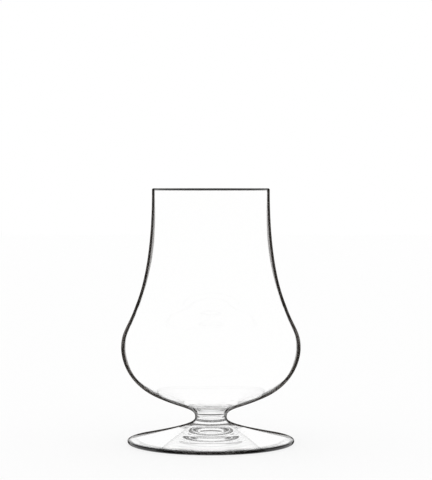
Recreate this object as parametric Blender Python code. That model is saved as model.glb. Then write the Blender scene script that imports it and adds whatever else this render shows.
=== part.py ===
"""Stemmed tasting glass: a blown bowl, a short solid stem and a pressed foot, fused in one line.

Every piece is turned round the +Z axis. The origin is the centre of the foot's bearing ring, on the table.
One outline runs from the rim down to the foot's edge, and the three pieces are cut from it at the two welds.
"""

import math
from collections import namedtuple

import bmesh
import bpy

# Driving dimensions, in metres and degrees
HEIGHT = 0.1080
RIM_RADIUS = 0.0249
SHOULDER_RADIUS = 0.03225
SHOULDER_HEIGHT = 0.0574
SHOULDER_LEAN = 19.55
BELLY_RADIUS = 0.03805
BELLY_HEIGHT = 0.0406
UNDERSIDE_RADIUS = 0.0237
UNDERSIDE_HEIGHT = 0.0200
UNDERSIDE_LEAN = -64.6
NECK_RADIUS = 0.0067
NECK_HEIGHT = 0.0112
FOOT_RADIUS = 0.0354
FOOT_SLOPE_RADIUS = 0.03485
FOOT_SLOPE_HEIGHT = 0.00156
FOOT_SLOPE_LEAN = 77.7
FOOT_EDGE = 0.0018

# Wall thickness of the blown bowl
RIM_WALL = 0.0012
SHOULDER_WALL = 0.0012
BELLY_WALL = 0.0015
UNDERSIDE_WALL = 0.0013
INNER_RIM_HOLD = 0.0375
CAVITY_FLOOR_HEIGHT = 0.0119
CAVITY_FLOOR_RADIUS = 0.0043
CAVITY_CORNER_HEIGHT = 0.0128
CAVITY_CORNER_RADIUS = 0.0055

# Underside of the foot
BEARING_RING_INNER_RADIUS = 0.0312
HOLLOW_HEIGHT = 0.0040

# Welds, with the space that keeps the pieces apart
BOWL_WELD_HEIGHT = 0.0108
FOOT_WELD_HEIGHT = 0.0078
WELD_GAP = 0.0003

# Facets
SEGMENTS = 56
MERGE_DISTANCE = 0.000001
SHARP_ANGLE = 40.0

# A point that the outline passes through. lean is the way the outline runs there, in degrees from straight
# down, positive outwards. above and below are how far the curve holds that direction on either side.
Station = namedtuple("Station", "radius height lean above below wall")

RIM = Station(RIM_RADIUS, HEIGHT - RIM_WALL / 2, 0.0, 0.0, 0.0340, RIM_WALL)
SHOULDER = Station(SHOULDER_RADIUS, SHOULDER_HEIGHT, SHOULDER_LEAN, 0.0035, 0.0084, SHOULDER_WALL)
BELLY = Station(BELLY_RADIUS, BELLY_HEIGHT, 0.0, 0.00685, 0.0051, BELLY_WALL)
UNDERSIDE = Station(UNDERSIDE_RADIUS, UNDERSIDE_HEIGHT, UNDERSIDE_LEAN, 0.01305, 0.0112, UNDERSIDE_WALL)
NECK = Station(NECK_RADIUS, NECK_HEIGHT, 0.0, 0.0037, 0.0021, 0.0)
FOOT_SLOPE = Station(FOOT_SLOPE_RADIUS, FOOT_SLOPE_HEIGHT, FOOT_SLOPE_LEAN, 0.0282, 0.0003, 0.0)
FOOT_WIDEST = Station(FOOT_RADIUS, FOOT_EDGE / 2, 0.0, 0.0004, 0.0, 0.0)
CAVITY_CORNER = Station(CAVITY_CORNER_RADIUS, CAVITY_CORNER_HEIGHT, -12.0, 0.0035, 0.0006, 0.0)
CAVITY_FLOOR_EDGE = Station(CAVITY_FLOOR_RADIUS, CAVITY_FLOOR_HEIGHT, -88.0, 0.0006, 0.0, 0.0)

FLARE_STEPS = 8
SHOULDER_STEPS = 5
LOWER_BOWL_STEPS = 8
NECK_STEPS = 6
FOOT_TOP_STEPS = 12
FOOT_EDGE_STEPS = 4
ROUND_STEPS = 3
HOLLOW_STEPS = 9


def heading(lean):
    """Direction of the outline for a lean from straight down, as (radius, height)."""
    angle = math.radians(lean)
    return math.sin(angle), -math.cos(angle)


def curve(upper, lower, steps):
    """Points of the cubic curve from one station to the next, without the first."""
    upper_way = heading(upper.lean)
    lower_way = heading(lower.lean)
    corners = (
        (upper.radius, upper.height),
        (upper.radius + upper_way[0] * upper.below, upper.height + upper_way[1] * upper.below),
        (lower.radius - lower_way[0] * lower.above, lower.height - lower_way[1] * lower.above),
        (lower.radius, lower.height),
    )
    points = []
    for step in range(1, steps + 1):
        t = step / steps
        weights = ((1 - t) ** 3, 3 * (1 - t) ** 2 * t, 3 * (1 - t) * t**2, t**3)
        points.append(tuple(sum(w * c[axis] for w, c in zip(weights, corners)) for axis in (0, 1)))
    return points


def arc(centre, radius, start, end, steps):
    """Points of a circular arc, angles in degrees from +radius towards +height."""
    points = []
    for step in range(steps + 1):
        angle = math.radians(start + (end - start) * step / steps)
        points.append((centre[0] + radius * math.cos(angle), centre[1] + radius * math.sin(angle)))
    return points


def inset(station):
    """The station of the inner wall that faces an outer one, one wall thickness along the normal."""
    way = heading(station.lean)
    return station._replace(
        radius=station.radius + way[1] * station.wall,
        height=station.height - way[0] * station.wall,
    )


def outline():
    """The outside of the whole glass, from the widest line of the rim down to that of the foot's edge."""
    points = [(RIM.radius, RIM.height)]
    points += curve(RIM, SHOULDER, FLARE_STEPS)
    points += curve(SHOULDER, BELLY, SHOULDER_STEPS)
    points += curve(BELLY, UNDERSIDE, LOWER_BOWL_STEPS)
    points += curve(UNDERSIDE, NECK, NECK_STEPS)
    points += curve(NECK, FOOT_SLOPE, FOOT_TOP_STEPS)
    points += curve(FOOT_SLOPE, FOOT_WIDEST, FOOT_EDGE_STEPS)
    return points


def at_height(upper, lower, height):
    """The point at a height on the straight line between two outline points."""
    share = (upper[1] - height) / (upper[1] - lower[1])
    return upper[0] + (lower[0] - upper[0]) * share, height


def stretch(points, top, bottom):
    """The part of a falling outline between two heights, with a new point at each end."""
    kept = []
    for upper, lower in zip(points, points[1:]):
        if upper[1] > top > lower[1]:
            kept.append(at_height(upper, lower, top))
        if top >= lower[1] >= bottom:
            kept.append(lower)
        if upper[1] > bottom > lower[1]:
            kept.append(at_height(upper, lower, bottom))
    return kept


def cavity():
    """The inside of the bowl, from the inner edge of the rim down to the middle of the floor."""
    inner_rim = inset(RIM)._replace(below=INNER_RIM_HOLD)
    inner_shoulder = inset(SHOULDER)
    inner_belly = inset(BELLY)
    inner_underside = inset(UNDERSIDE)
    points = curve(inner_rim, inner_shoulder, FLARE_STEPS)
    points += curve(inner_shoulder, inner_belly, SHOULDER_STEPS)
    points += curve(inner_belly, inner_underside, LOWER_BOWL_STEPS)
    points += curve(inner_underside, CAVITY_CORNER, NECK_STEPS)
    points += curve(CAVITY_CORNER, CAVITY_FLOOR_EDGE, ROUND_STEPS)
    points.append((0.0, CAVITY_FLOOR_HEIGHT))
    return points


def bowl_profile():
    """Floor of the cavity up to the rim, over its rounded top and down the outside to the weld."""
    rim_top = arc((RIM.radius - RIM.wall / 2, RIM.height), RIM.wall / 2, 180, 0, 2 * ROUND_STEPS)
    seat = BOWL_WELD_HEIGHT + WELD_GAP / 2
    outside = stretch(outline(), RIM.height, seat)
    return cavity()[::-1] + rim_top + outside + [(0.0, seat)]


def stem_profile():
    """The short solid waist between the two welds."""
    top = BOWL_WELD_HEIGHT - WELD_GAP / 2
    bottom = FOOT_WELD_HEIGHT + WELD_GAP / 2
    return [(0.0, top)] + stretch(outline(), top, bottom) + [(0.0, bottom)]


def foot_underside():
    """The shallow dome under the foot, from the inner edge of the bearing ring to the axis."""
    points = []
    for step in range(HOLLOW_STEPS + 1):
        share = step / HOLLOW_STEPS
        points.append((BEARING_RING_INNER_RADIUS * (1 - share), HOLLOW_HEIGHT * math.sin(share * math.pi / 2)))
    return points


def foot_profile():
    """The foot from its weld, out over the sloping top and the rounded edge, and back in underneath."""
    top = FOOT_WELD_HEIGHT - WELD_GAP / 2
    half_edge = FOOT_EDGE / 2
    sloping_top = stretch(outline(), top, FOOT_WIDEST.height)
    lower_edge = arc((FOOT_RADIUS - half_edge, half_edge), half_edge, 0, -90, ROUND_STEPS)
    return [(0.0, top)] + sloping_top + lower_edge[1:] + foot_underside()


def clear_glass():
    """Water-clear lead-free crystal, polished all over."""
    material = bpy.data.materials.new("clear_glass")
    material.use_nodes = True
    shader = material.node_tree.nodes["Principled BSDF"]
    shader.inputs["Base Color"].default_value = (0.97, 0.975, 0.97, 1.0)
    shader.inputs["Roughness"].default_value = 0.02
    shader.inputs["Metallic"].default_value = 0.0
    shader.inputs["IOR"].default_value = 1.52
    shader.inputs["Transmission Weight"].default_value = 1.0
    return material


def turned(name, profile, seat, material, parent):
    """A solid of revolution whose origin stands on the axis at the height of its seat."""
    shape = bmesh.new()
    corners = [shape.verts.new((radius, 0.0, height - seat)) for radius, height in profile]
    edges = [shape.edges.new(pair) for pair in zip(corners, corners[1:])]
    bmesh.ops.spin(
        shape,
        geom=corners + edges,
        cent=(0.0, 0.0, 0.0),
        axis=(0.0, 0.0, 1.0),
        angle=math.tau,
        steps=SEGMENTS,
    )
    bmesh.ops.remove_doubles(shape, verts=shape.verts, dist=MERGE_DISTANCE)
    bmesh.ops.recalc_face_normals(shape, faces=shape.faces)
    mesh = bpy.data.meshes.new(name)
    shape.to_mesh(mesh)
    shape.free()
    mesh.shade_smooth()
    mesh.set_sharp_from_angle(angle=math.radians(SHARP_ANGLE))
    mesh.materials.append(material)
    piece = bpy.data.objects.new(name, mesh)
    bpy.context.scene.collection.objects.link(piece)
    piece.parent = parent
    piece.location = (0.0, 0.0, seat)
    return piece


def main():
    for old in list(bpy.data.objects):
        bpy.data.objects.remove(old)
    glass = bpy.data.objects.new("tasting_glass", None)
    bpy.context.scene.collection.objects.link(glass)
    crystal = clear_glass()
    turned("bowl", bowl_profile(), BOWL_WELD_HEIGHT, crystal, glass)
    turned("stem", stem_profile(), FOOT_WELD_HEIGHT, crystal, glass)
    turned("foot", foot_profile(), 0.0, crystal, glass)


main()
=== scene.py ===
"""Looks of a short-stemmed tasting glass: blown bowl, solid stem and pressed foot, in a bright studio.

Laid out as an add-on and run as a script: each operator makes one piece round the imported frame.
"""

import math
from collections import namedtuple

import bmesh
import bpy
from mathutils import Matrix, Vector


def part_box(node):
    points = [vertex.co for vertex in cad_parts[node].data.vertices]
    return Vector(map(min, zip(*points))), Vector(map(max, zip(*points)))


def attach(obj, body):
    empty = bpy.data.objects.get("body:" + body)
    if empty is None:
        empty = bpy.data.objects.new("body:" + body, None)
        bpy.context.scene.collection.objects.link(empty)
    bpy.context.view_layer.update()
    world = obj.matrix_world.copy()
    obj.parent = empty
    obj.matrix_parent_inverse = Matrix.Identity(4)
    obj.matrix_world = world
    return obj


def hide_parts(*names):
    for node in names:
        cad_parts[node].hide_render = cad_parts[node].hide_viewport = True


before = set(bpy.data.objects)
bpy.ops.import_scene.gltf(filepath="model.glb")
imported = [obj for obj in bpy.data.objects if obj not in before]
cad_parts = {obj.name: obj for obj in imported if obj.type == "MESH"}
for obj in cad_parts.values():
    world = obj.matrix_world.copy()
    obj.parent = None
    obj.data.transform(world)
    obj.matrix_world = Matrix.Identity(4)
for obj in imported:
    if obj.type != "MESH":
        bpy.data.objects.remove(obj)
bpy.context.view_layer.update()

bl_info = {
    "name": "Tasting glass",
    "version": (1, 0, 0),
    "blender": (4, 5, 0),
    "location": "3D View > Sidebar > Tasting glass",
    "description": "Makes the bowl, stem and foot of a clear tasting glass, and the studio round it",
    "category": "Object",
}

BODY = "root"

BOWL_LOW, BOWL_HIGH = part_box("bowl")
STEM_LOW, STEM_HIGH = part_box("stem")
FOOT_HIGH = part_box("foot")[1]

# Facets of the turned pieces
SEGMENTS = 192
LONG_CURVE_STEPS = 40
SHORT_CURVE_STEPS = 20
ROUND_STEPS = 12
HOLLOW_STEPS = 40
MERGE_DISTANCE = 0.000001
SHARP_ANGLE = 50.0

# The pieces meet at the welds, but for a space too thin to see
WELD_SPACE = 0.000002

# How far the inner wall holds straight down from the rim
INNER_RIM_HOLD = 0.0375

# How far the cavity's floor dips towards its middle
FLOOR_DIP = 0.0001

# Width of the painted shade along the bowl's outline, a dark line painted into the glass's colour, by share
# of the glass's height. The widths are shares of the unit.
WALL_BAND_UNIT = 0.002
WALL_BANDS = (
    (0.10, 0.46),
    (0.112, 0.44),
    (0.121, 0.38),
    (0.131, 0.27),
    (0.140, 0.23),
    (0.149, 0.28),
    (0.160, 0.41),
    (0.174, 0.52),
    (0.187, 0.62),
    (0.202, 0.68),
    (0.219, 0.61),
    (0.26, 0.68),
    (0.33, 0.90),
    (0.39, 0.92),
    (0.45, 0.72),
    (0.51, 0.52),
    (0.565, 0.60),
    (0.645, 0.76),
    (0.72, 0.88),
    (0.80, 0.90),
    (0.88, 0.76),
    (0.98, 0.56),
)

# Width of the painted shade, a dark line painted along the outline of stem and foot, and the radii between
# which it changes
NECK_BAND = 0.0009
SLOPE_BAND = 0.00065
BAND_CHANGE = (0.0065, 0.0110)

# Soft edge of the painted dark lines, as shares of their width
BAND_EDGE = (0.9, 1.1)

# Heights between which the painted shade along the bowl's outline goes over from dark grey to near-black
LOW_OUTLINE_SHADE = (0.030, 0.020)

# Where the painted shade at the lip begins and where it is full, below the rim's top, as shares of the rim's
# wall
LIP_SHADE_FADE = (0.80, 0.60)

# Where the painted shade at the foot's edge begins and where it is full, inside the foot's widest line
EDGE_SHADE_FADE = (0.0012, 0.0008)

# Ring of painted shade on the cavity's wall, just above its floor
SHADE_RING_RADIUS = 0.0060
SHADE_RING_BOTTOM = 0.01275
SHADE_RING_TOP = 0.0135

# Inside this radius the foot is as smooth as the stem
SMOOTH_RADIUS = 0.0135

# The ring that rubs on tables: how far it reaches up, and the grain of its scuffs
RUBBED_HEIGHT = 0.00005
SCUFF_SCALE = 900.0
SCUFF_DETAIL = 4.0

# Detail of the faint waves that blowing leaves
RIPPLE_DETAIL = 1.0

# Keeps the level part of a vector
LEVEL = (1.0, 1.0, 0.0)

# Most often that the wall mirrors light on its way along the outline, and bends it going in and out
WALL_MIRRORINGS = 4
WALL_BENDS = 2

# The stage
CARD_STEPS = 96
FLOOR_HALF_SIDE = 3.0
FLOOR_DROP = 0.0002
LIGHT_BOUNCES = 64

# A point that the outline passes through. lean is the way the outline runs there, in degrees from straight
# down, positive outwards. above and below are how far the curve holds that direction on either side.
Station = namedtuple("Station", "radius height lean above below wall", defaults=(0.0, 0.0, 0.0, 0.0))


def length(name, description, default):
    """A size in metres."""
    return bpy.props.FloatProperty(
        name=name, description=description, default=default, min=0.0, precision=5, unit="LENGTH"
    )


def angle(name, description, degrees):
    """An angle, given in degrees and kept in radians as Blender does."""
    return bpy.props.FloatProperty(
        name=name, description=description, default=math.radians(degrees), precision=3, unit="ROTATION"
    )


def share(name, description, default):
    """A number from 0 to 1."""
    return bpy.props.FloatProperty(
        name=name, description=description, default=default, min=0.0, max=1.0, precision=3, subtype="FACTOR"
    )


def colour(name, description, default):
    """A linear RGBA colour."""
    return bpy.props.FloatVectorProperty(
        name=name, description=description, default=default, size=4, min=0.0, max=1.0, subtype="COLOR"
    )


class GlassSizes(bpy.types.PropertyGroup):
    """Sizes of the glass, the same as in the CAD model."""

    height: length("Height", "Table to the top of the rim", BOWL_HIGH[2])
    rim_radius: length("Rim radius", "Outside of the rim", 0.0249)
    rim_wall: length("Rim wall", "Thickness of the wall at the rim", 0.0012)
    shoulder_radius: length("Shoulder radius", "Outside of the shoulder, where the flare turns", 0.03225)
    shoulder_height: length("Shoulder height", "Table to the shoulder", 0.0574)
    shoulder_wall: length("Shoulder wall", "Thickness of the wall at the shoulder", 0.0012)
    belly_radius: length("Belly radius", "Widest outside of the bowl", BOWL_HIGH[0])
    belly_height: length("Belly height", "Table to the widest line of the bowl", 0.0406)
    belly_wall: length("Belly wall", "Thickness of the wall at the belly", 0.0015)
    underside_radius: length("Underside radius", "A point on the bowl's underside, from the axis", 0.0237)
    underside_height: length("Underside height", "Table to that point", 0.0200)
    underside_wall: length("Underside wall", "Thickness of the wall at that point", 0.0013)
    corner_radius: length("Corner radius", "Cavity's wall just above its floor, from the axis", 0.0055)
    corner_height: length("Corner height", "Table to the place where that wall turns in", 0.0128)
    floor_radius: length("Floor radius", "Edge of the cavity's floor, from the axis", 0.0043)
    floor_height: length("Cavity floor", "Table to the edge of the cavity's floor", 0.0119)
    neck_radius: length("Neck radius", "Narrowest outside of the glass", 0.0067)
    neck_height: length("Neck height", "Table to the narrowest line", 0.0112)
    bowl_weld: length("Bowl weld", "Table to the weld of bowl and stem", (BOWL_LOW[2] + STEM_HIGH[2]) / 2)
    foot_weld: length("Foot weld", "Table to the weld of stem and foot", (STEM_LOW[2] + FOOT_HIGH[2]) / 2)
    slope_radius: length("Slope radius", "Lower end of the foot's slope, from the axis", 0.03485)
    slope_height: length("Slope height", "Table to the lower end of the slope", 0.00156)
    foot_radius: length("Foot radius", "Widest line of the foot", FOOT_HIGH[0])
    foot_edge: length("Foot edge", "Thickness of the foot's rounded edge", 0.0018)
    ring_inner_radius: length("Bearing ring", "Inner radius of the flat ring under the foot", 0.0312)
    hollow_height: length("Hollow", "Rise of the dome under the foot", 0.0040)


class GlassFinishAndShade(bpy.types.PropertyGroup):
    """Finish of the glass, and the shade painted into its colour."""

    clear: colour("Clear glass", "Tint of light that goes through the glass", (0.998, 0.998, 0.997, 1.0))
    # Painted shade: the dark grey colour of the line painted along the bowl's outline
    painted_outline_shade: colour("Grazed glass", "Tint where light goes far through the wall", (0.05, 0.044, 0.04, 1.0))
    # Painted shade: near-black, painted along the outline of stem, foot and low bowl, and at the lip, the
    # foot's edge and the cavity's corner
    painted_black_shade: colour("Dense glass", "Tint of lip, edge, ring and low outlines", (0.003, 0.0027, 0.0025, 1.0))
    ior: bpy.props.FloatProperty(
        name="Index of refraction",
        description="How much the glass bends light",
        default=1.52,
        min=1.0,
        max=2.0,
    )
    polish: share("Polish of the foot", "Roughness of the foot's pressed slope", 0.008)
    wear: share("Wear", "Roughness of the ring that rubs on tables", 0.12)
    ripple: length("Ripple", "Height of the faint waves that blowing leaves", 0.000004)
    ripple_size: length("Ripple size", "Length of those waves", 0.018)


class StudioLook(bpy.types.PropertyGroup):
    """Floor, cards and camera."""

    paper: colour("Floor", "Pale floor under the glass", (0.96, 0.96, 0.96, 1.0))
    paper_roughness: share("Floor roughness", "Roughness of the floor", 0.9)
    paper_glow: share("Floor glow", "Share of plain white in what the camera sees of the floor", 0.8)
    backdrop: colour("Backdrop", "White that the camera and the glass see", (1.0, 1.0, 1.0, 1.0))
    card: colour("Card", "Dark card that draws the outlines of the glass", (0.045, 0.040, 0.036, 1.0))
    lens: bpy.props.FloatProperty(
        name="Lens", description="Focal length in millimetres", default=127.93, unit="CAMERA"
    )
    camera_right: length("Camera right", "Camera to the right of the axis", 0.002166)
    camera_back: length("Camera back", "Camera in front of the axis", 0.722)
    camera_height: length("Camera height", "Table to the camera", 0.1097)
    camera_tilt: angle("Camera tilt", "How far the camera looks down", 1.870)


class Shade:
    """A socket of a node tree. Arithmetic on it adds Math nodes."""

    def __init__(self, tree, socket=None):
        self.tree = tree
        self.socket = socket

    def node(self, kind, settings=None, inputs=None, output=0):
        """Add a node, set it up, feed its sockets, and return one of its outputs."""
        node = self.tree.nodes.new(kind)
        for name, setting in (settings or {}).items():
            if name == "stops":
                for place, _ in setting[1:-1]:
                    node.color_ramp.elements.new(place)
                for element, (place, value) in zip(node.color_ramp.elements, setting):
                    element.position = place
                    element.color = (value, value, value, 1.0)
            else:
                setattr(node, name, setting)
        for key, value in (inputs or {}).items():
            if isinstance(value, Shade):
                value.feed(node, key)
            else:
                node.inputs[key].default_value = value
        return Shade(self.tree, node.outputs[output])

    def feed(self, node, key):
        """Link this to a node's socket."""
        self.tree.links.new(self.socket, node.inputs[key])

    def maths(self, operation, first, second):
        """A Math node's result."""
        return self.node("ShaderNodeMath", {"operation": operation}, {0: first, 1: second})

    def __add__(self, other):
        return self.maths("ADD", self, other)

    __radd__ = __add__

    def __sub__(self, other):
        return self.maths("SUBTRACT", self, other)

    def __rsub__(self, other):
        return self.maths("SUBTRACT", other, self)

    def __mul__(self, other):
        return self.maths("MULTIPLY", self, other)

    __rmul__ = __mul__

    def __truediv__(self, other):
        return self.maths("DIVIDE", self, other)

    def __gt__(self, other):
        return self.maths("GREATER_THAN", self, other)

    def __lt__(self, other):
        return self.maths("LESS_THAN", self, other)

    def either(self, other):
        """The larger of two values, so that one of two masks is enough."""
        return self.maths("MAXIMUM", self, other)

    def smooth(self, start, end):
        """0 before start, 1 after end, and a soft step between."""
        settings = {"interpolation_type": "SMOOTHSTEP"}
        inputs = {"Value": self, "From Min": start, "From Max": end}
        return self.node("ShaderNodeMapRange", settings, inputs)

    def mix(self, first, second):
        """The first colour where this is 0, the second where it is 1."""
        inputs = {"Factor": self, 6: first, 7: second}
        return self.node("ShaderNodeMix", {"data_type": "RGBA"}, inputs, 2)


def heading(lean):
    """Direction of the outline for a lean from straight down, as (radius, height)."""
    turn = math.radians(lean)
    return math.sin(turn), -math.cos(turn)


def curve(upper, lower, steps):
    """Points of the cubic curve from one station to the next, without the first."""
    upper_way = heading(upper.lean)
    lower_way = heading(lower.lean)
    corners = (
        (upper.radius, upper.height),
        (upper.radius + upper_way[0] * upper.below, upper.height + upper_way[1] * upper.below),
        (lower.radius - lower_way[0] * lower.above, lower.height - lower_way[1] * lower.above),
        (lower.radius, lower.height),
    )
    points = []
    for step in range(1, steps + 1):
        t = step / steps
        weights = ((1 - t) ** 3, 3 * (1 - t) ** 2 * t, 3 * (1 - t) * t**2, t**3)
        points.append(tuple(sum(w * c[axis] for w, c in zip(weights, corners)) for axis in (0, 1)))
    return points


def arc(centre, radius, start, end, steps):
    """Points of a circular arc, angles in degrees from +radius towards +height."""
    points = []
    for step in range(steps + 1):
        turn = math.radians(start + (end - start) * step / steps)
        points.append((centre[0] + radius * math.cos(turn), centre[1] + radius * math.sin(turn)))
    return points


def inset(station):
    """The station of the inner wall that faces an outer one, one wall thickness along the normal."""
    way = heading(station.lean)
    return station._replace(
        radius=station.radius + way[1] * station.wall, height=station.height - way[0] * station.wall
    )


def stations(sizes):
    """The outline's stations, from the rim to the foot's edge."""
    rim_height = sizes.height - sizes.rim_wall / 2
    return {
        "rim": Station(sizes.rim_radius, rim_height, below=0.0340, wall=sizes.rim_wall),
        "shoulder": Station(
            sizes.shoulder_radius,
            sizes.shoulder_height,
            lean=19.55,
            above=0.0035,
            below=0.0084,
            wall=sizes.shoulder_wall,
        ),
        "belly": Station(
            sizes.belly_radius,
            sizes.belly_height,
            above=0.00685,
            below=0.0051,
            wall=sizes.belly_wall,
        ),
        "underside": Station(
            sizes.underside_radius,
            sizes.underside_height,
            lean=-64.6,
            above=0.01305,
            below=0.0112,
            wall=sizes.underside_wall,
        ),
        "neck": Station(sizes.neck_radius, sizes.neck_height, above=0.0037, below=0.0021),
        "slope": Station(sizes.slope_radius, sizes.slope_height, lean=77.7, above=0.0282, below=0.0003),
        "edge": Station(sizes.foot_radius, sizes.foot_edge / 2, above=0.0004),
    }


def outline(sizes):
    """The outside of the whole glass, from the widest line of the rim down to that of the foot's edge."""
    at = stations(sizes)
    points = [(at["rim"].radius, at["rim"].height)]
    points += curve(at["rim"], at["shoulder"], LONG_CURVE_STEPS)
    points += curve(at["shoulder"], at["belly"], SHORT_CURVE_STEPS)
    points += curve(at["belly"], at["underside"], LONG_CURVE_STEPS)
    points += curve(at["underside"], at["neck"], LONG_CURVE_STEPS)
    points += curve(at["neck"], at["slope"], 2 * LONG_CURVE_STEPS)
    points += curve(at["slope"], at["edge"], ROUND_STEPS)
    return points


def at_height(upper, lower, height):
    """The point at a height on the straight line between two outline points."""
    part = (upper[1] - height) / (upper[1] - lower[1])
    return upper[0] + (lower[0] - upper[0]) * part, height


def stretch(points, top, bottom):
    """The part of a falling outline between two heights, with a new point at each end."""
    kept = []
    for upper, lower in zip(points, points[1:]):
        if upper[1] > top > lower[1]:
            kept.append(at_height(upper, lower, top))
        if top >= lower[1] >= bottom:
            kept.append(lower)
        if upper[1] > bottom > lower[1]:
            kept.append(at_height(upper, lower, bottom))
    return kept


def cavity(sizes):
    """The inside of the bowl, from the inner edge of the rim down to the middle of the floor."""
    at = stations(sizes)
    rim = inset(at["rim"])._replace(below=INNER_RIM_HOLD)
    shoulder = inset(at["shoulder"])
    belly = inset(at["belly"])
    underside = inset(at["underside"])
    corner = Station(sizes.corner_radius, sizes.corner_height, lean=-12.0, above=0.0035, below=0.0006)
    floor_edge = Station(sizes.floor_radius, sizes.floor_height, lean=-88.0, above=0.0006, below=0.0010)
    floor_middle = Station(0.0, sizes.floor_height - FLOOR_DIP, lean=-90.0, above=0.0015)
    points = curve(rim, shoulder, LONG_CURVE_STEPS)
    points += curve(shoulder, belly, SHORT_CURVE_STEPS)
    points += curve(belly, underside, LONG_CURVE_STEPS)
    points += curve(underside, corner, LONG_CURVE_STEPS)
    points += curve(corner, floor_edge, ROUND_STEPS)
    points += curve(floor_edge, floor_middle, ROUND_STEPS)
    return points


def bowl_profile(sizes):
    """Floor of the cavity up to the rim, over its rounded top and down the outside to the weld."""
    rim = stations(sizes)["rim"]
    rim_top = arc((rim.radius - rim.wall / 2, rim.height), rim.wall / 2, 180, 0, 2 * ROUND_STEPS)
    seat = sizes.bowl_weld + WELD_SPACE / 2
    return cavity(sizes)[::-1] + rim_top + stretch(outline(sizes), rim.height, seat) + [(0.0, seat)]


def stem_profile(sizes):
    """The short solid waist between the two welds."""
    top = sizes.bowl_weld - WELD_SPACE / 2
    bottom = sizes.foot_weld + WELD_SPACE / 2
    return [(0.0, top)] + stretch(outline(sizes), top, bottom) + [(0.0, bottom)]


def foot_profile(sizes):
    """The foot from its weld, out over the sloping top and the rounded edge, and back in underneath."""
    top = sizes.foot_weld - WELD_SPACE / 2
    half_edge = sizes.foot_edge / 2
    sloping_top = stretch(outline(sizes), top, half_edge)
    lower_edge = arc((sizes.foot_radius - half_edge, half_edge), half_edge, 0, -90, ROUND_STEPS)
    underneath = []
    for step in range(HOLLOW_STEPS + 1):
        part = step / HOLLOW_STEPS
        rise = sizes.hollow_height * math.sin(part * math.pi / 2)
        underneath.append((sizes.ring_inner_radius * (1 - part), rise))
    return [(0.0, top)] + sloping_top + lower_edge[1:] + underneath


def turned(name, profile, welds, finish_and_shade, weld_finish):
    """A piece turned round the axis. Faces that lie in a weld get the weld's material."""
    shape = bmesh.new()
    corners = [shape.verts.new((radius, 0.0, height)) for radius, height in profile]
    edges = [shape.edges.new(pair) for pair in zip(corners, corners[1:])]
    bmesh.ops.spin(
        shape,
        geom=corners + edges,
        cent=(0.0, 0.0, 0.0),
        axis=(0.0, 0.0, 1.0),
        angle=math.tau,
        steps=SEGMENTS,
    )
    bmesh.ops.remove_doubles(shape, verts=shape.verts, dist=MERGE_DISTANCE)
    bmesh.ops.recalc_face_normals(shape, faces=shape.faces)
    for face in shape.faces:
        heights = [corner.co.z for corner in face.verts]
        if any(max(abs(height - weld) for height in heights) < WELD_SPACE for weld in welds):
            face.material_index = 1
    if not all(edge.is_manifold for edge in shape.edges):
        raise RuntimeError(name + " isn't closed")
    mesh = bpy.data.meshes.new(name)
    shape.to_mesh(mesh)
    shape.free()
    mesh.shade_smooth()
    mesh.set_sharp_from_angle(angle=math.radians(SHARP_ANGLE))
    mesh.materials.append(finish_and_shade)
    mesh.materials.append(weld_finish)
    piece = bpy.data.objects.new(name, mesh)
    bpy.context.scene.collection.objects.link(piece)
    return piece


def new_material(name):
    """A new material, its Principled shader and a start for its expressions."""
    material = bpy.data.materials.new(name)
    material.use_nodes = True
    return material, material.node_tree.nodes["Principled BSDF"], Shade(material.node_tree)


def fused():
    """Where two pieces are fused there is no surface, so nothing shows."""
    name = "fused_glass"
    if name in bpy.data.materials:
        return bpy.data.materials[name]
    material, shader, _ = new_material(name)
    shader.inputs["Alpha"].default_value = 0.0
    return material


def clear_glass(name, finish_and_shade):
    """Clear, perfectly smooth glass."""
    material, shader, start = new_material(name)
    shader.inputs["Roughness"].default_value = 0.0
    shader.inputs["IOR"].default_value = finish_and_shade.ior
    shader.inputs["Transmission Weight"].default_value = 1.0
    return material, shader, start


def place(start):
    """The surface's place, from the point where the axis meets the table."""
    return start.node("ShaderNodeTexCoord", output="Object")


def upward(start, vector):
    """The upward part of a vector."""
    return start.node("ShaderNodeSeparateXYZ", None, {0: vector}, "Z")


def spoke(start):
    """The level line from the axis to the surface."""
    return start.node("ShaderNodeVectorMath", {"operation": "MULTIPLY"}, {0: place(start), 1: LEVEL})


def axis_distance(start):
    """Distance from the axis."""
    return start.node("ShaderNodeVectorMath", {"operation": "LENGTH"}, {0: spoke(start)}, "Value")


def table_height(start):
    """Height above the table."""
    return upward(start, place(start))


def ripples(start, finish_and_shade):
    """The faint unevenness of hand-finished glass, as a normal."""
    grain = {"Vector": place(start), "Scale": 1 / finish_and_shade.ripple_size, "Detail": RIPPLE_DETAIL}
    waves = start.node("ShaderNodeTexNoise", None, grain)
    return start.node("ShaderNodeBump", None, {"Height": waves, "Distance": finish_and_shade.ripple, "Strength": 1.0})


def painted_outline_shade(start, width):
    """Mask of painted shade: a dark line of that width where the outside of the glass is seen at a graze."""
    normal = start.node("ShaderNodeNewGeometry", output="Normal")
    outwards = {0: normal, 1: spoke(start)}
    outside = start.node("ShaderNodeVectorMath", {"operation": "DOT_PRODUCT"}, outwards, "Value") > 0.0
    rise = upward(start, normal)
    sheer = start.maths("POWER", 1 - rise * rise, 0.5)
    cosine = 1 - start.node("ShaderNodeLayerWeight", output="Facing")
    depth = cosine * cosine * axis_distance(start) / (sheer * width * 2.0)
    return (1 - depth.smooth(*BAND_EDGE)) * outside


def solid_band(start):
    """Width of the painted shade along the outline of stem and foot: wide at the neck, thin on the slope."""
    return NECK_BAND + (SLOPE_BAND - NECK_BAND) * axis_distance(start).smooth(*BAND_CHANGE)


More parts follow.
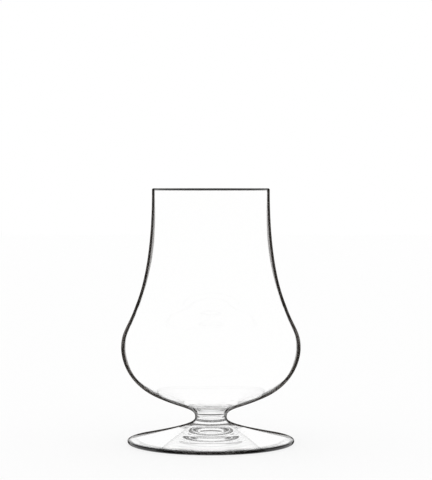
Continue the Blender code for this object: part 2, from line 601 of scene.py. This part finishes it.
def bowl_glass(sizes, finish_and_shade):
    """Blown glass, with painted shade: dark lines painted along the outline, at the lip and at the cavity's
    corner.
    """
    material, shader, start = clear_glass("blown_glass_painted_shade", finish_and_shade)
    radius = axis_distance(start)
    height = table_height(start)
    # Painted shade: a dark line along the outline, dark grey above and near-black low down, and near-black
    # bands at the lip and the cavity's corner
    band = start.node("ShaderNodeValToRGB", {"stops": WALL_BANDS}, {0: height / sizes.height})
    painted_outline_tint = height.smooth(*LOW_OUTLINE_SHADE).mix(finish_and_shade.painted_outline_shade, finish_and_shade.painted_black_shade)
    tint = painted_outline_shade(start, band * WALL_BAND_UNIT).mix(finish_and_shade.clear, painted_outline_tint)
    lip = height.smooth(*[sizes.height - part * sizes.rim_wall for part in LIP_SHADE_FADE])
    ring = (radius < SHADE_RING_RADIUS) * (height > SHADE_RING_BOTTOM) * (height < SHADE_RING_TOP)
    lip.either(ring).mix(tint, finish_and_shade.painted_black_shade).feed(shader, "Base Color")
    ripples(start, finish_and_shade).feed(shader, "Normal")
    return material


def stem_glass(finish_and_shade):
    """Solid drawn glass, with painted shade: a dark line painted at its outline."""
    material, shader, start = clear_glass("drawn_glass_painted_shade", finish_and_shade)
    # Painted shade: a near-black line painted along the stem's outline
    painted_outline_shade(start, solid_band(start)).mix(finish_and_shade.clear, finish_and_shade.painted_black_shade).feed(shader, "Base Color")
    ripples(start, finish_and_shade).feed(shader, "Normal")
    return material


def foot_glass(sizes, finish_and_shade):
    """Pressed glass, with painted shade at its outline and rounded edge, and dulled where it rubs on tables.
    """
    material, shader, start = clear_glass("pressed_glass_painted_shade", finish_and_shade)
    radius = axis_distance(start)
    # Painted shade: near-black at the rounded edge and a near-black line along the outline
    edge = radius.smooth(*[sizes.foot_radius - inside for inside in EDGE_SHADE_FADE])
    tint = painted_outline_shade(start, solid_band(start)).mix(finish_and_shade.clear, finish_and_shade.painted_black_shade)
    edge.mix(tint, finish_and_shade.painted_black_shade).feed(shader, "Base Color")
    grain = {"Vector": place(start), "Scale": SCUFF_SCALE, "Detail": SCUFF_DETAIL}
    scuffs = start.node("ShaderNodeTexNoise", None, grain)
    rubbed = (radius > sizes.ring_inner_radius) * (table_height(start) < RUBBED_HEIGHT)
    pressed = (radius > SMOOTH_RADIUS) * finish_and_shade.polish
    (rubbed * scuffs * finish_and_shade.wear + pressed).feed(shader, "Roughness")
    ripples(start, finish_and_shade).feed(shader, "Normal")
    return material


def dress(piece, node):
    """The piece stands for a CAD node and rides on the body."""
    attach(piece, BODY)
    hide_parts(node)


class TASTING_GLASS_OT_bowl(bpy.types.Operator):
    """Make the blown bowl"""

    bl_idname = "tasting_glass.bowl"
    bl_label = "Bowl"

    def execute(self, context):
        sizes = context.scene.glass_sizes
        glass = bowl_glass(sizes, context.scene.glass_finish)
        seat = sizes.bowl_weld + WELD_SPACE / 2
        piece = turned("blown_bowl", bowl_profile(sizes), [seat], glass, fused())
        dress(piece, "bowl")
        return {"FINISHED"}


class TASTING_GLASS_OT_stem(bpy.types.Operator):
    """Make the short solid stem"""

    bl_idname = "tasting_glass.stem"
    bl_label = "Stem"

    def execute(self, context):
        sizes = context.scene.glass_sizes
        glass = stem_glass(context.scene.glass_finish)
        ends = [sizes.bowl_weld - WELD_SPACE / 2, sizes.foot_weld + WELD_SPACE / 2]
        piece = turned("drawn_stem", stem_profile(sizes), ends, glass, fused())
        dress(piece, "stem")
        return {"FINISHED"}


class TASTING_GLASS_OT_foot(bpy.types.Operator):
    """Make the pressed foot"""

    bl_idname = "tasting_glass.foot"
    bl_label = "Foot"

    def execute(self, context):
        sizes = context.scene.glass_sizes
        glass = foot_glass(sizes, context.scene.glass_finish)
        top = sizes.foot_weld - WELD_SPACE / 2
        piece = turned("pressed_foot", foot_profile(sizes), [top], glass, fused())
        dress(piece, "foot")
        return {"FINISHED"}


def hide_from(obj, *rays):
    """Keep an object out of the sight of some kinds of light ray."""
    for ray in rays:
        setattr(obj, "visible_" + ray, False)


def stage_object(name, points, faces, material):
    """A plain mesh that isn't part of the glass."""
    mesh = bpy.data.meshes.new(name)
    mesh.from_pydata(points, [], faces)
    mesh.materials.append(material)
    obj = bpy.data.objects.new(name, mesh)
    bpy.context.scene.collection.objects.link(obj)
    return obj


def show(start, shading):
    """Make a shader the one that the material shows."""
    shading.feed(start.tree.nodes["Material Output"], "Surface")


def path(start, output):
    """One fact of the light's path."""
    return start.node("ShaderNodeLightPath", output=output)


def off_smooth(start):
    """Light that has last met smooth glass: the bowl, the stem or the middle of the foot."""
    return path(start, "Is Singular Ray")


def off_slope(start):
    """Light that has last met the foot's pressed slope."""
    return 1 - off_smooth(start)


def at_least(count, number):
    """Whether a count has reached a number."""
    return count > number - 0.5


def at_most(count, number):
    """Whether a count hasn't passed a number."""
    return count < number + 0.5


def mirrored_inside(start):
    """Light that smooth glass has mirrored, as a thin wall does along its outline."""
    mirrored = path(start, "Glossy Depth")
    inside = at_least(mirrored, 1) * at_most(mirrored, WALL_MIRRORINGS)
    return inside * at_most(path(start, "Transmission Depth"), WALL_BENDS) * off_smooth(start)


def glanced(start):
    """Light that has glanced off the outside of the glass."""
    return at_least(path(start, "Glossy Depth"), 1) * at_most(path(start, "Transmission Depth"), 0)


def glanced_off_smooth(start):
    """Light that has glanced off the outside of the bowl, the stem or the middle of the foot."""
    return glanced(start) * off_smooth(start)


def glanced_off_slope(start):
    """Light that has glanced off the foot's pressed slope."""
    return glanced(start) * off_slope(start)


def only_bent(start):
    """Light that the glass has bent and not mirrored."""
    return at_most(path(start, "Glossy Depth"), 0)


def through_foot(start):
    """Light that the glass has mirrored once, and that has left by the foot's slope."""
    mirrored = path(start, "Glossy Depth")
    once = at_least(mirrored, 1) * at_most(mirrored, 1)
    return once * at_most(path(start, "Transmission Depth"), WALL_BENDS) * off_slope(start)


def from_foot(start):
    """Light that has left by the foot's slope, or that the glass has only bent."""
    return off_slope(start).either(only_bent(start))


def outlined(start):
    """Light that draws the outline of the wall or of the foot's slope."""
    return mirrored_inside(start).either(glanced(start))


def glanced_below(start):
    """Light that has glanced off the glass, and may have gone down through the foot after that."""
    return glanced(start).either(through_foot(start))


def outlined_below(start):
    """Light that draws an outline, or has gone down through the foot after it glanced off the glass."""
    return outlined(start).either(through_foot(start))


# A card's distance beyond the glass in metres, negative on the camera's side, and its sector in degrees off
# the camera's axis: how far the centre is above the axis, the inner and outer edge, and from where to where
# it goes round
Sector = namedtuple("Sector", "beyond centre inner outer start end")

# Each card, the light that it is dark for, and its sector
CARDS = (
    ("axis_card", outlined, Sector(4.0, -5.0, 0.01, 14.0, 0.0, 180.0)),
    ("low_axis_card", glanced, Sector(4.0, -5.0, 0.01, 14.0, 180.0, 360.0)),
    ("roof_card", mirrored_inside, Sector(4.0, -5.0, 14.0, 31.0, 40.0, 140.0)),
    ("left_card", outlined, Sector(4.0, -5.0, 14.0, 31.0, 140.0, 230.0)),
    ("left_table_card", outlined_below, Sector(4.0, -5.0, 14.0, 31.0, 230.0, 256.0)),
    ("table_card", glanced_below, Sector(4.0, -5.0, 14.0, 31.0, 256.0, 284.0)),
    ("right_table_card", outlined_below, Sector(4.0, -5.0, 14.0, 31.0, 284.0, 310.0)),
    ("right_card", outlined, Sector(4.0, -5.0, 14.0, 31.0, 310.0, 400.0)),
    ("brink_card", glanced_off_smooth, Sector(4.0, -5.0, 31.0, 35.0, 0.0, 360.0)),
    ("lip_card", only_bent, Sector(4.1, -5.0, 36.0, 80.0, 162.0, 378.0)),
    ("ceiling_card", from_foot, Sector(4.1, -5.0, 36.0, 80.0, 26.0, 154.0)),
    ("room_card", glanced_off_slope, Sector(-1.0, 0.0, 0.01, 80.0, 0.0, 360.0)),
)


def glowing(name, look, dark_where):
    """A card that shines white, and is dark for the light that a test of its path names."""
    material, shader, start = new_material(name)
    start.tree.nodes.remove(shader)
    tone = dark_where(start).mix(look.backdrop, look.card)
    show(start, start.node("ShaderNodeEmission", None, {"Color": tone, "Strength": 1.0}))
    return material


def off_axis(distance, degrees):
    """How far from the axis a direction has come at a distance, whichever way the distance runs."""
    return abs(distance) * math.tan(math.radians(degrees))


def card(name, camera, sector, material):
    """A flat sector that the camera carries, in degrees off its axis as seen from the glass."""
    depth = camera.location.y - sector.beyond
    centre = off_axis(sector.beyond, sector.centre)
    edges = [off_axis(sector.beyond, edge) for edge in (sector.inner, sector.outer)]
    points = []
    for step in range(CARD_STEPS + 1):
        turn = math.radians(sector.start + (sector.end - sector.start) * step / CARD_STEPS)
        for radius in edges:
            points.append((radius * math.cos(turn), radius * math.sin(turn) + centre, depth))
    faces = [(2 * i, 2 * i + 1, 2 * i + 3, 2 * i + 2) for i in range(CARD_STEPS)]
    flat = stage_object(name, points, faces, material)
    flat.parent = camera
    hide_from(flat, "camera", "diffuse", "shadow")


def paper(look):
    """Pale paper that the camera sees nearly white, with the shadow of the glass."""
    material, shader, start = new_material("floor_paper")
    shader.inputs["Base Color"].default_value = look.paper
    shader.inputs["Roughness"].default_value = look.paper_roughness
    own = Shade(start.tree, shader.outputs[0])
    glow = start.node("ShaderNodeEmission", None, {"Color": look.backdrop, "Strength": 1.0})
    lit = path(start, "Is Camera Ray") * look.paper_glow
    show(start, start.node("ShaderNodeMixShader", None, {0: lit, 1: own, 2: glow}))
    return material


class TASTING_GLASS_OT_stage(bpy.types.Operator):
    """Make the floor, the light, the dark cards and the camera"""

    bl_idname = "tasting_glass.stage"
    bl_label = "Stage"

    def execute(self, context):
        scene = context.scene
        look = scene.studio_look
        scene.view_settings.view_transform = "Standard"
        # Light runs on through many mirrorings inside the solid foot
        scene.cycles.max_bounces = LIGHT_BOUNCES
        scene.cycles.glossy_bounces = LIGHT_BOUNCES
        scene.cycles.transmission_bounces = LIGHT_BOUNCES
        scene.cycles.transparent_max_bounces = LIGHT_BOUNCES

        data = bpy.data.cameras.new("camera")
        data.lens = look.lens
        camera = bpy.data.objects.new("camera", data)
        camera.location = (look.camera_right, -look.camera_back, look.camera_height)
        camera.rotation_euler = (math.pi / 2 - look.camera_tilt, 0.0, 0.0)
        scene.collection.objects.link(camera)
        scene.camera = camera

        world = bpy.data.worlds.new("white_studio")
        world.use_nodes = True
        world.node_tree.nodes["Background"].inputs["Color"].default_value = look.backdrop
        scene.world = world

        side = FLOOR_HALF_SIDE
        corners = [(-side, -side), (side, -side), (side, side), (-side, side)]
        points = [(x, y, -FLOOR_DROP) for x, y in corners]
        floor = stage_object("floor", points, [(0, 1, 2, 3)], paper(look))
        # The glass shows the white backdrop in the floor's place
        hide_from(floor, "transmission", "glossy")

        for name, dark_where, sector in CARDS:
            card(name, camera, sector, glowing(name, look, dark_where))
        return {"FINISHED"}


OPERATORS = (TASTING_GLASS_OT_bowl, TASTING_GLASS_OT_stem, TASTING_GLASS_OT_foot, TASTING_GLASS_OT_stage)


class TASTING_GLASS_PT_panel(bpy.types.Panel):
    """Lists the pieces of the glass and its stage"""

    bl_idname = "TASTING_GLASS_PT_panel"
    bl_label = "Tasting glass"
    bl_space_type = "VIEW_3D"
    bl_region_type = "UI"
    bl_category = "Tasting glass"

    def draw(self, context):
        for operator in OPERATORS:
            self.layout.operator(operator.bl_idname)


GROUPS = {"glass_sizes": GlassSizes, "glass_finish": GlassFinishAndShade, "studio_look": StudioLook}


def register():
    for group in GROUPS.values():
        bpy.utils.register_class(group)
    for name, group in GROUPS.items():
        setattr(bpy.types.Scene, name, bpy.props.PointerProperty(type=group))
    for operator in OPERATORS:
        bpy.utils.register_class(operator)
    bpy.utils.register_class(TASTING_GLASS_PT_panel)


def unregister():
    bpy.utils.unregister_class(TASTING_GLASS_PT_panel)
    for operator in reversed(OPERATORS):
        bpy.utils.unregister_class(operator)
    for name in GROUPS:
        delattr(bpy.types.Scene, name)
    for group in reversed(GROUPS.values()):
        bpy.utils.unregister_class(group)


def main():
    register()
    bpy.ops.tasting_glass.bowl()
    bpy.ops.tasting_glass.stem()
    bpy.ops.tasting_glass.foot()
    bpy.ops.tasting_glass.stage()


if __name__ == "__main__":
    main()
